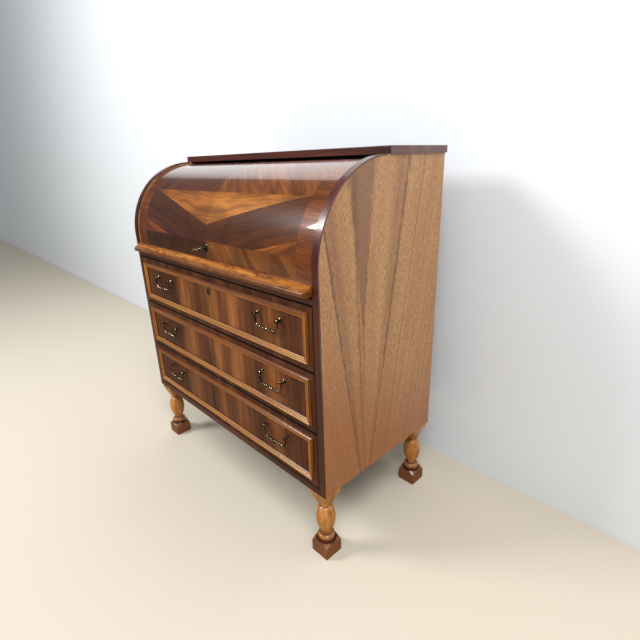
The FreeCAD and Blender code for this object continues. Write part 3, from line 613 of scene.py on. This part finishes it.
@dataclass(frozen=True)
class DrawerVeneer:
    """The drawer fronts: upright figure that runs on from drawer to drawer, in a dark crossbanded border."""

    name: str = "drawer_veneer"
    grid: DrawerGrid = DrawerGrid()
    dark: Colour = srgb(86, 45, 25)
    middle: Colour = srgb(120, 68, 36)
    light: Colour = srgb(164, 102, 52)
    low_tint: Colour = srgb(84, 44, 28)
    band_tint: Colour = srgb(60, 26, 14)
    gap_shade_tint: Colour = srgb(24, 10, 6)
    gap_shade_width: float = 0.0028

    def material(self) -> bpy.types.Material:
        """Build the material: a ramp along x sets the broad bands, and the border covers the edges.

        Returns:
            The material.
        """
        shader = Shader(self.name)
        x, y, z = shader.split(shader.place())
        wander = shader.noise(shader.join(shader.maths("MULTIPLY", x, 14.0), 0.0,
                                          shader.maths("MULTIPLY", z, 3.0)), 2.0)
        band = shader.maths("MULTIPLY_ADD", shader.maths("SUBTRACT", wander, 0.5), 0.10, x)
        share = shader.maths("MULTIPLY_ADD", band, 0.5 / self.grid.half, 0.5)
        dark, middle, light = self.dark, self.middle, self.light
        tone = shader.ramp(share, {0.0: middle, 0.14: dark, 0.26: dark, 0.32: light, 0.38: middle, 0.45: dark,
                                   0.50: light, 0.57: middle, 0.62: light, 0.68: middle, 0.74: dark,
                                   0.79: middle, 0.82: light, 0.86: middle, 0.93: dark, 1.0: middle})
        tone = shader.stain(tone, shader.step(z, 0.42, 0.36), 0.35, self.low_tint)
        figure, height = PLAIN.grow(shader, shader.join(x, y, z), 2.0)
        panel = shader.mix(0.15, shader.mix(1.0, figure, tone, "MULTIPLY"), tone)
        banding, _ = WALNUT.grow(shader, shader.turn(shader.join(x, y, z), (0, 0, 0), (1, 1, 1.6)), 11.0)
        _, upright, side = self.grid.measure(shader, x, z)
        inset = shader.maths("MINIMUM", upright, side)
        edge = shader.maths("LESS_THAN", inset, self.grid.border)
        colour = shader.mix(edge, panel, shader.mix(0.6, banding, self.band_tint))
        # Painted shade of the gaps between the drawers: a near black band along each front's edges.
        colour = shader.mix(shader.step(inset, self.gap_shade_width, 0.001), colour, self.gap_shade_tint)
        shader.bump(height, 0.00006)
        return shader.set(Base_Color=colour, Roughness=0.45, Coat_Weight=0.12, Coat_Roughness=0.12,
                          Specular_IOR_Level=0.3)


@dataclass(frozen=True)
class ReededFrame:
    """The drawers' applied frames: golden wood with painted shade in the grooves between the reeds."""

    name: str = "reeded_frame"
    grid: DrawerGrid = DrawerGrid()
    reed_start: float = 0.001
    reed_width: float = 0.004867
    top_shade_depth: float = 0.5
    top_shade_tint: Colour = srgb(140, 70, 34)
    foot_highlight_depth: float = 0.35
    foot_highlight_tint: Colour = srgb(222, 160, 88)
    groove_shade_tint: Colour = srgb(44, 18, 8)

    def material(self) -> bpy.types.Material:
        """Build the material: the grain follows each side, and turns at the mitres.

        The rail over the drawer gets painted shade, darker and redder, and the one under it a painted
        highlight, lighter, each by its depth where the side isn't upright. A groove lies wherever the way in,
        counted in reeds, is near a whole number.

        Returns:
            The material.
        """
        shader = Shader(self.name)
        x, y, z = shader.split(shader.place())
        level, upright, side = self.grid.measure(shader, x, z)
        inset = shader.maths("SUBTRACT", shader.maths("MINIMUM", upright, side), self.grid.border)
        stile = shader.maths("LESS_THAN", side, upright)
        vector = shader.node("Mix", data_type="VECTOR")
        for socket, value in ((vector.inputs[0], stile), (vector.inputs[4], shader.join(z, y, x)),
                              (vector.inputs[5], shader.join(x, y, z))):
            shader.feed(socket, value)
        colour, height = GOLDEN.grow(shader, vector.outputs[1], 6.0)
        # Painted shade on the rail over the drawer, whose slope faces down, and a painted highlight on the rail
        # under it, whose slope faces up.
        for low, high, depth, tint in ((0.12, 0.14, self.top_shade_depth, self.top_shade_tint),
                                       (0.04, 0.035, self.foot_highlight_depth, self.foot_highlight_tint)):
            rail = shader.maths("SUBTRACT", depth, shader.maths("MULTIPLY", stile, depth))
            colour = shader.mix(shader.maths("MULTIPLY", shader.step(level, low, high), rail), colour, tint)
        reed = shader.maths("PINGPONG", shader.maths("DIVIDE", shader.maths(
            "SUBTRACT", inset, self.reed_start), self.reed_width), 0.5)
        # Painted shade: near black in the grooves between the reeds.
        colour = shader.stain(colour, shader.step(reed, 0.27, 0.12), 0.96, self.groove_shade_tint)
        shader.bump(height, 0.00005)
        return shader.set(Base_Color=colour, Roughness=0.32, Coat_Weight=0.5, Coat_Roughness=0.12)


@dataclass(frozen=True)
class FiddleMoulding:
    """The slide's moulding: golden wood with dark cross flecks and a darker lip."""

    name: str = "fiddle_moulding"
    wash: Colour = (0.80, 0.75, 0.48)
    cloud: Colour = srgb(84, 44, 18)
    fleck: Colour = srgb(70, 34, 16)
    lip: Colour = srgb(78, 40, 20)

    def material(self) -> bpy.types.Material:
        """Build the material: clouds and cross flecks over the gold, and the lip darker towards the bottom.

        Returns:
            The material.
        """
        shader = Shader(self.name)
        x, y, z = shader.split(shader.place())
        colour, height = GOLDEN.grow(shader, shader.join(z, y, x), 1.0)
        colour = shader.mix(1.0, colour, self.wash, "MULTIPLY")
        cloud = shader.noise(shader.turn(shader.place(), (0, 0, 0), (26.0, 90.0, 90.0)), 3.0, 0.6, 0.5)
        colour = shader.stain(colour, shader.step(cloud, 0.55, 0.34), 0.8, self.cloud)
        fleck = shader.noise(shader.turn(shader.place(), (0, 0, 0), (420.0, 70.0, 70.0)), 2.0, 0.6)
        colour = shader.stain(colour, shader.step(fleck, 0.42, 0.30), 0.35, self.fleck)
        colour = shader.stain(colour, shader.step(z, 0.767, 0.757), 0.75, self.lip)
        shader.bump(height, 0.00005)
        return shader.set(Base_Color=colour, Roughness=0.3, Coat_Weight=0.8, Coat_Roughness=0.1)


@dataclass(frozen=True)
class TurnedLeg:
    """The legs: flecked golden wood, with the foot and the neck over it stained darker."""

    name: str = "turned_leg"
    grooves: tuple[float, ...] = (0.0465, 0.0505, 0.0665, 0.0715, 0.1605)
    fleck: Colour = srgb(96, 48, 20)
    foot: Colour = srgb(104, 50, 24)
    neck: Colour = srgb(110, 56, 28)
    groove: Colour = srgb(52, 24, 12)

    def material(self) -> bpy.types.Material:
        """Build the material: stain by height, with a dark line in each turned groove.

        Returns:
            The material.
        """
        shader = Shader(self.name)
        place = shader.place()
        _, _, z = shader.split(place)
        colour, height = BEECH.grow(shader, place, 3.0)
        fleck = shader.noise(shader.stretch(place, 0.0022, 0.012, 8.0), 2.0, 0.6)
        colour = shader.stain(colour, shader.step(fleck, 0.44, 0.34), 0.65, self.fleck)
        colour = shader.stain(colour, shader.step(z, 0.052, 0.044), 0.68, self.foot)
        colour = shader.stain(colour, shader.step(z, 0.078, 0.066), 0.45, self.neck)
        for level in self.grooves:
            gap = shader.maths("ABSOLUTE", shader.maths("SUBTRACT", z, level))
            colour = shader.stain(colour, shader.step(gap, 0.0026, 0.0004), 0.8, self.groove)
        shader.bump(height, 0.00008)
        return shader.set(Base_Color=colour, Roughness=0.38, Coat_Weight=0.5, Coat_Roughness=0.15)


@dataclass(frozen=True)
class Brass:
    """Dark antique brass, rubbed bright here and there."""

    name: str = "aged_brass"
    tarnished: Colour = srgb(52, 42, 34)
    rubbed: Colour = srgb(196, 180, 150)

    def material(self) -> bpy.types.Material:
        """Build the material: a tarnish noise mixes two metal colours and two polishes.

        Returns:
            The material.
        """
        shader = Shader(self.name)
        tarnish = shader.noise(shader.turn(shader.place(), (0, 0, 0), (180, 180, 180)), 4.0, 0.6)
        mask = shader.step(tarnish, 0.42, 0.66)
        colour = shader.mix(mask, self.tarnished, self.rubbed)
        rough = shader.maths("MULTIPLY_ADD", mask, -0.10, 0.26)
        shader.bump(tarnish, 0.0002)
        return shader.set(Base_Color=colour, Roughness=rough, Metallic=1.0)


@dataclass(frozen=True)
class Steel:
    """Plain dull steel for the hidden ironmongery."""

    name: str = "plain_steel"
    dark: Colour = srgb(110, 108, 104)
    light: Colour = srgb(170, 168, 162)

    def material(self) -> bpy.types.Material:
        """Build the material, with a fine brushed variation.

        Returns:
            The material.
        """
        shader = Shader(self.name)
        streak = shader.noise(shader.stretch(shader.place(), 0.0006, 0.02), 3.0)
        return shader.set(Base_Color=shader.mix(streak, self.dark, self.light), Roughness=0.38, Metallic=1.0)


def dress(node: str, material: bpy.types.Material) -> None:
    """Give a CAD node a material in every slot.

    Args:
        node: the node's name.
        material: the material.
    """
    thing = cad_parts[node]
    if not thing.material_slots:
        thing.data.materials.append(material)
    for entry in thing.material_slots:
        entry.material = material
    LOG.info("dressed %s in %s", node, material.name)


def skin(name: str, grid: np.ndarray) -> bpy.types.Object:
    """Make a smooth tube from a grid of points, with one face over each end.

    Args:
        name: the new object's name.
        grid: points of shape (stations, around, 3), in the desk's frame; each row is one closed ring.

    Returns:
        The object, standing at the origin with its place in its mesh.
    """
    stations, around, _ = grid.shape
    row, column = np.meshgrid(np.arange(stations - 1), np.arange(around), indexing="ij")
    beside = (column + 1) % around
    quads = np.stack([row * around + column, row * around + beside, (row + 1) * around + beside,
                      (row + 1) * around + column], axis=-1).reshape(-1, 4)
    ends = [list(range(around))[::-1], list(range((stations - 1) * around, stations * around))]
    mesh = bpy.data.meshes.new(name)
    mesh.from_pydata(grid.reshape(-1, 3).tolist(), [], quads.tolist() + ends)
    mesh.polygons.foreach_set("use_smooth", np.ones(len(mesh.polygons), dtype=bool))
    thing = bpy.data.objects.new(name, mesh)
    bpy.context.scene.collection.objects.link(thing)
    return thing


def turned(name: str, centre: np.ndarray, axis: int, profile: np.ndarray, around: int = 48) -> bpy.types.Object:
    """Turn a profile about a line through a point.

    Args:
        name: the new object's name.
        centre: a point on the line, in metres.
        axis: the line's direction: 0 for X, 1 for Y, 2 for Z.
        profile: pairs of (distance along the line, radius), in metres.
        around: the number of points round.

    Returns:
        The turned object.
    """
    angle = np.linspace(0, 2 * np.pi, around, endpoint=False)
    grid = np.zeros((len(profile), around, 3))
    grid[:, :, axis] = profile[:, :1]
    grid[:, :, (axis + 1) % 3] = profile[:, 1:] * np.cos(angle)
    grid[:, :, (axis + 2) % 3] = profile[:, 1:] * np.sin(angle)
    return skin(name, grid + centre)


HANDS = (("left", -1), ("right", 1))


@dataclass(frozen=True)
class Bail:
    """A cast swan-neck bail that hangs between two posts, with beads at its bends and a swelled grip.

    It stands for the CAD node of its name, and its centre is midway between its two eyes. Its arms lean in
    along an arc of radius bend, and a corner of its own radius joins each to the grip. All in metres.
    """

    node: str
    centre: Point
    half: float = 0.044
    depth: float = 0.030
    bend: float = 0.0415
    corner: float = 0.012
    lean: float = math.radians(25)
    arm: float = 0.0025
    grip: float = 0.0029
    eye: float = 0.0035
    eye_width: float = 0.0026
    eye_rim: float = 0.0008
    # Each bead: its distance from the middle, its width and how far it rises from the grip.
    beads: tuple[tuple[float, float, float], ...] = (
        (0.0, 0.0070, 0.0020), (0.0140, 0.0042, 0.0016), (0.0265, 0.0032, 0.0014))

    def path(self, count: int = 40) -> np.ndarray:
        """Draw the right half's centre line, from the eye to the grip's middle.

        Args:
            count: the number of points in each bend.

        Returns:
            The points, as pairs of x and z from the bail's centre.
        """
        knee_x = self.half - self.bend * (1 - math.cos(self.lean))
        knee_z = self.corner * (1 - math.sin(self.lean)) - self.depth
        neck = np.linspace(0, self.lean, count)
        upper = np.stack([self.half - self.bend * (1 - np.cos(neck)),
                          knee_z + self.bend * (math.sin(self.lean) - np.sin(neck))], axis=1)
        turn = np.linspace(self.lean, np.pi / 2, count)[1:]
        heel_x = knee_x - self.corner * math.cos(self.lean)
        lower = np.stack([heel_x + self.corner * np.cos(turn),
                          self.corner - self.depth - self.corner * np.sin(turn)], axis=1)
        grip = np.stack([np.linspace(heel_x, 0, 2 * count)[1:], np.full(2 * count - 1, -self.depth)], axis=1)
        return np.concatenate([[[self.half, 0.0]], upper, lower, grip])

    def radius(self, line: np.ndarray) -> np.ndarray:
        """Work out the bail's thickness: a plain arm, then the grip with its beads.

        A bead is its rise times e to the power of minus the square of the distance from its centre over its
        width. The grip's thickness sets in from 55 percent of the way down.

        Args:
            line: the centre line's points, as pairs of x and z.

        Returns:
            The radius at each point, in metres.
        """
        x = np.abs(line[:, 0])
        swell = sum(rise * np.exp(-((x - place) / width) ** 2) for place, width, rise in self.beads)
        low = np.clip((-line[:, 1] / self.depth - 0.55) / 0.45, 0, 1)
        return self.arm + (self.grip + swell - self.arm) * low

    def build(self, brass: bpy.types.Material) -> None:
        """Make the bail and its eyes, and let them stand for the CAD node.

        Args:
            brass: the metal's material.
        """
        right = self.path()
        line = np.concatenate([right, right[-2::-1] * (-1, 1)])
        way = np.gradient(line, axis=0)
        way /= np.linalg.norm(way, axis=1, keepdims=True)
        radius = self.radius(line)
        angle = np.linspace(0, 2 * np.pi, 24, endpoint=False)
        side = np.stack([-way[:, 1], way[:, 0]], axis=1)
        grid = np.zeros((len(line), len(angle), 3))
        grid[:, :, 0] = line[:, :1] + radius[:, None] * side[:, :1] * np.cos(angle)
        grid[:, :, 1] = radius[:, None] * np.sin(angle)
        grid[:, :, 2] = line[:, 1:] + radius[:, None] * side[:, 1:] * np.cos(angle)
        bail = skin(f"{self.node}_cast", grid + np.array(self.centre))
        bail.data.materials.append(brass)
        turn = np.linspace(0, np.pi, 17)
        bulge = self.eye_rim + (self.eye - self.eye_rim) * np.sin(turn) ** 0.5
        lens = np.stack([-self.eye_width * np.cos(turn), bulge], axis=1)
        for hand, sign in HANDS:
            place = np.array(self.centre) + (sign * self.half, 0, 0)
            eye = turned(f"{self.node}_eye_{hand}", place, 0, lens, 32)
            eye.data.materials.append(brass)
            eye.parent = bail
        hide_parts(self.node)
        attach(bail, self.node)
        LOG.info("cast %s", self.node)


@dataclass(frozen=True)
class Studio:
    """The floor, the wall behind, the lamps and the camera. Angles are in degrees."""

    far: float = 8.0
    wall_y: float = 0.40
    wall_top: float = 2.9
    look: Point = (0.0662, 0.1569, 0.5019)
    azimuth: float = 46.12
    elevation: float = 20.18
    roll: float = -1.86
    distance: float = 1.5095
    lens: float = 24.41
    room_light: float = 0.42
    room_reflection: float = 0.10

    def sheet(self, name: str, corners: list[Point], colour: Colour, mirrored: Colour) -> None:
        """Add one flat matt backdrop quad, clear when it is seen from behind.

        Args:
            name: the object's name.
            corners: its four corners, anticlockwise as seen from its front.
            colour: its linear colour.
            mirrored: its linear colour in reflections.
        """
        mesh = bpy.data.meshes.new(name)
        mesh.from_pydata(corners, [], [(0, 1, 2, 3)])
        thing = bpy.data.objects.new(name, mesh)
        bpy.context.scene.collection.objects.link(thing)
        shader = Shader(name)
        shown = shader.mix(shader.node("LightPath").outputs["Is Glossy Ray"], colour, mirrored)
        behind = shader.node("NewGeometry").outputs["Backfacing"]
        mesh.materials.append(shader.set(Base_Color=shown, Roughness=0.9, Specular_IOR_Level=0.2,
                                         Alpha=shader.maths("SUBTRACT", 1.0, behind)))

    def lamp(self, name: str, place: Point, aim: Point, size: float, power: float) -> None:
        """Hang one square soft lamp that faces a point.

        Args:
            name: the lamp's name.
            place: where it hangs.
            aim: the point that it faces.
            size: its width, in metres.
            power: its power, in watts.
        """
        light = bpy.data.lights.new(name, "AREA")
        light.size = size
        light.energy = power
        thing = bpy.data.objects.new(name, light)
        thing.location = place
        thing.rotation_euler = (Vector(aim) - Vector(place)).to_track_quat("-Z", "Y").to_euler()
        bpy.context.scene.collection.objects.link(thing)

    def camera(self) -> None:
        """Stand the camera at its azimuth, elevation and roll round the point that it looks at."""
        turn, rise, roll = (math.radians(a) for a in (self.azimuth, self.elevation, self.roll))
        back = Vector((math.sin(turn) * math.cos(rise), -math.cos(turn) * math.cos(rise), math.sin(rise)))
        right = Vector((0, 0, 1)).cross(back).normalized()
        up = back.cross(right)
        level = math.cos(roll) * right + math.sin(roll) * up
        tall = -math.sin(roll) * right + math.cos(roll) * up
        data = bpy.data.cameras.new("camera")
        data.lens = self.lens
        thing = bpy.data.objects.new("camera", data)
        thing.matrix_world = Matrix.Translation(Vector(self.look) + back * self.distance) @ Matrix(
            (level, tall, back)).transposed().to_4x4()
        bpy.context.scene.collection.objects.link(thing)
        bpy.context.scene.camera = thing

    def world(self) -> None:
        """Light the room evenly, but leave it dim in reflections, as a room's far side is."""
        world = bpy.data.worlds.new("studio")
        world.use_nodes = True
        tree = world.node_tree
        background = tree.nodes["Background"]
        background.inputs["Color"].default_value = (0.93, 0.96, 1.0, 1.0)
        path = tree.nodes.new("ShaderNodeLightPath")
        dim = tree.nodes.new("ShaderNodeMapRange")
        tree.links.new(path.outputs["Is Glossy Ray"], dim.inputs["Value"])
        dim.inputs["To Min"].default_value = self.room_light
        dim.inputs["To Max"].default_value = self.room_reflection
        tree.links.new(dim.outputs[0], background.inputs["Strength"])
        bpy.context.scene.world = world

    def build(self) -> None:
        """Build the whole studio."""
        far, wall, top = self.far, self.wall_y, self.wall_top
        self.sheet("floor", [(-far, -far, 0), (far, -far, 0), (far, far, 0), (-far, far, 0)],
                   srgb(214, 204, 186), srgb(132, 120, 100))
        self.sheet("wall", [(-far, wall, 0), (far, wall, 0), (far, wall, top), (-far, wall, top)],
                   srgb(232, 237, 242), srgb(244, 246, 248))
        self.lamp("key", (-1.6, -2.2, 2.6), (0, 0, 0.6), 0.9, 72)
        self.lamp("ceiling", (1.6, -1.1, 2.8), (0.1, 0, 0.6), 1.2, 58)
        self.world()
        bpy.context.scene.view_settings.view_transform = "Standard"
        self.camera()


@dataclass(frozen=True)
class Desk:
    """The desk's finishes, node by node, and its cast bails."""

    handle_x: float = 0.277
    handle_y: float = -0.231
    handle_levels: tuple[float, ...] = (0.668, 0.504, 0.340)

    def bails(self, brass: bpy.types.Material) -> None:
        """Cast the six bails.

        Args:
            brass: the metal's material.
        """
        for index, level in enumerate(self.handle_levels, start=1):
            for hand, sign in HANDS:
                Bail(f"drawer_{index}_bail_{hand}", (sign * self.handle_x, self.handle_y, level)).build(brass)

    def finishes(self) -> list[tuple[bpy.types.Material, tuple[str, ...]]]:
        """Match finishes to nodes: a node gets the first finish that has a pattern for its name.

        Returns:
            The materials, each with its patterns, where * stands for any letters.
        """
        return [
            (Brass().material(), ("*bail*", "*posts*", "*escutcheon*", "key")),
            (Steel().material(), ("lid_lock", "drawer_1_lock", "*_lock_bolt", "leg_studs", "back_screws",
                                  "lid_pivots")),
            (SideFigure().material(), ("side_panel*",)),
            (Board("dark_lipping", MAHOGANY, Grain.UPRIGHT, 0.35, 0.6).material(), ("edge_lipping*",)),
            (Board("dark_top", MAHOGANY, Grain.SIDEWAYS, 0.35, 0.5).material(),
             ("top_board", "divider_board", "bottom_board")),
            (Marquetry().material(), ("lid_panel",)),
            (DrawerVeneer().material(), ("drawer*_front",)),
            (ReededFrame().material(), ("drawer*_moulding",)),
            (FiddleMoulding().material(), ("slide_moulding",)),
            (Board("walnut_board", WALNUT, Grain.SIDEWAYS, 0.45, 0.2).material(),
             ("back_panel", "desk_floor", "writing_board", "lid_quadrant*")),
            (TurnedLeg().material(), ("leg_*",)),
            (Board("lengthwise_pine", PINE, Grain.INWARD, 0.6, 0.0).material(),
             ("*_box", "*_runners", "*_uprights")),
            (Board("inside_pine", PINE, Grain.SIDEWAYS, 0.6, 0.0).material(), ("*",)),
        ]

    def build(self) -> None:
        """Dress every CAD node and cast the bails."""
        finishes = self.finishes()
        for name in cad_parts:
            dress(name, next(material for material, patterns in finishes
                             if any(fnmatchcase(name, pattern) for pattern in patterns)))
        self.bails(finishes[0][0])


def main() -> None:
    """Build the studio and finish the desk."""
    logging.basicConfig(level=logging.INFO, format="%(message)s")
    Studio().build()
    Desk().build()


if __name__ == "__main__":
    main()
